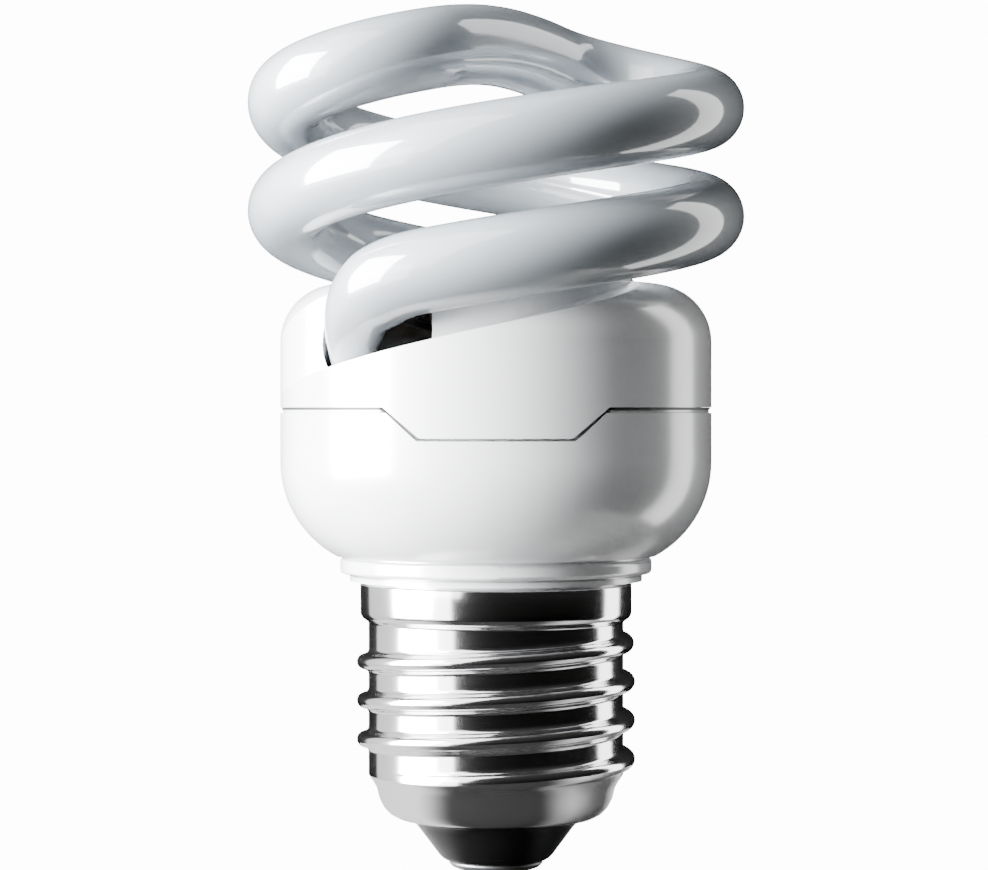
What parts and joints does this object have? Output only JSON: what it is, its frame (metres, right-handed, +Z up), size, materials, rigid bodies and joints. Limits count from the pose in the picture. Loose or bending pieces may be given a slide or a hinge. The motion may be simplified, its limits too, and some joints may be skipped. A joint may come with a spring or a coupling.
{
  "type": "spiral energy saving bulb",
  "caption": "Compact fluorescent lamp with a double spiral of coated glass tube on a white plastic ballast housing and a nickel plated screw cap",
  "frame": {"origin": "lowest point of the centre contact, on the axis of the lamp", "axes": "+Z up along the lamp from the cap to the coil, the front of the housing faces -Y"},
  "size_m": [0.0464, 0.0464, 0.0809],
  "materials": {
    "coated_glass": "white powder coating behind polished glass",
    "white_plastic": "satin moulded",
    "nickel_plate": "bright plated brass sheet",
    "black_insulator": "glossy vitrified",
    "contact_metal": "dull tinned",
    "board_laminate": "phenolic paper board",
    "can_sleeve": "shrink sleeve",
    "ferrite": "sintered",
    "nylon_bobbin": "moulded",
    "enamelled_copper": "enamelled wire",
    "black_epoxy": "moulded",
    "film_coating": "dipped epoxy",
    "resistor_lacquer": "lacquered",
    "wire_sleeve": "insulated wire",
    "tinned_wire": "tinned",
    "silicone_cement": "cured paste"
  },
  "bodies": {
    "root": {"cap_insulator": "black_insulator", "centre_contact": "contact_metal", "choke_bobbin": "nylon_bobbin", "choke_core": "ferrite", "choke_leads": "tinned_wire", "choke_winding": "enamelled_copper", "circuit_board": "board_laminate", "coupling_capacitor": "film_coating", "discharge_tube": "coated_glass", "drive_ring_core": "ferrite", "drive_ring_winding_1": "enamelled_copper", "drive_ring_winding_2": "enamelled_copper", "drive_ring_winding_3": "enamelled_copper", "fusible_resistor": "resistor_lacquer", "live_wire": "wire_sleeve", "lower_housing": "white_plastic", "neutral_wire": "wire_sleeve", "power_transistor_1": "black_epoxy", "power_transistor_2": "black_epoxy", "rectifier_diode_1": "black_epoxy", "rectifier_diode_2": "black_epoxy", "rectifier_diode_3": "black_epoxy", "rectifier_diode_4": "black_epoxy", "resistor_1": "resistor_lacquer", "resistor_2": "resistor_lacquer", "resistor_3": "resistor_lacquer", "resistor_4": "resistor_lacquer", "resonance_capacitor": "film_coating", "screw_shell": "nickel_plate", "smoothing_capacitor": "can_sleeve", "trigger_diac": "resistor_lacquer", "tube_cement_back": "silicone_cement", "tube_cement_front": "silicone_cement", "tube_lead_1": "tinned_wire", "tube_lead_2": "tinned_wire", "tube_lead_3": "tinned_wire", "tube_lead_4": "tinned_wire", "upper_cover": "white_plastic", "wrap_pin_1": "tinned_wire", "wrap_pin_2": "tinned_wire", "wrap_pin_3": "tinned_wire", "wrap_pin_4": "tinned_wire"}
  },
  "joints": []
}
